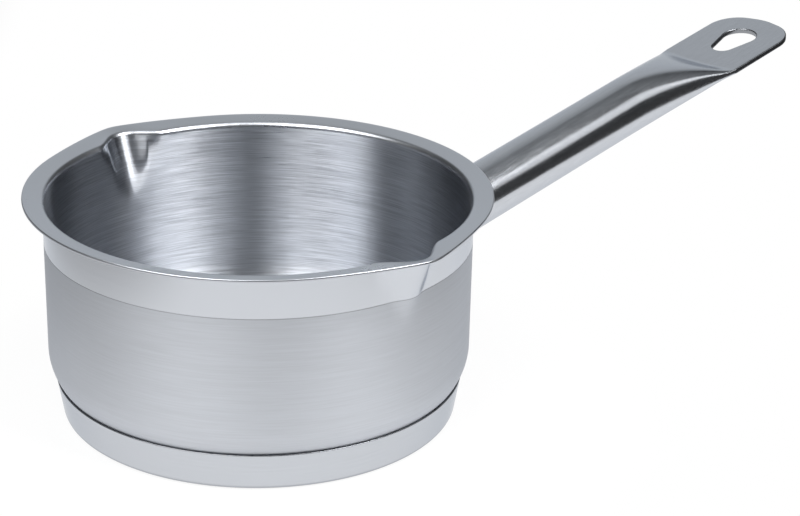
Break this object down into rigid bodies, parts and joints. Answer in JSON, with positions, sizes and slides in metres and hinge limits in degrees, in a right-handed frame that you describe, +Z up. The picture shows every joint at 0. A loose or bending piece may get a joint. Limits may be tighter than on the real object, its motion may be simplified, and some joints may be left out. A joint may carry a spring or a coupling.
{
  "type": "milk pan",
  "caption": "Small stainless steel saucepan with pressed pouring spouts, a flared rim, a capsule base and a tubular handle pressed flat round its hanging hole.",
  "frame": {"origin": "middle of the base's underside, on the pan's axis", "axes": "+Z up along the pan's axis, +X towards the handle, the spouts at +Y and -Y"},
  "size_m": [0.4037, 0.1868, 0.0946],
  "materials": {
    "pan_steel": "brushed wall with a polished band under the rim",
    "cap_steel": "satin polished",
    "core_aluminium": "raw",
    "handle_steel": "satin polished along its length",
    "bracket_steel": "plain pressed",
    "weld_steel": "brushed weld"
  },
  "bodies": {
    "root": {"pan_body": "pan_steel", "base_cap": "cap_steel", "heat_disc": "core_aluminium", "handle": "handle_steel", "handle_bracket": "bracket_steel", "handle_weld": "weld_steel"}
  },
  "joints": []
}
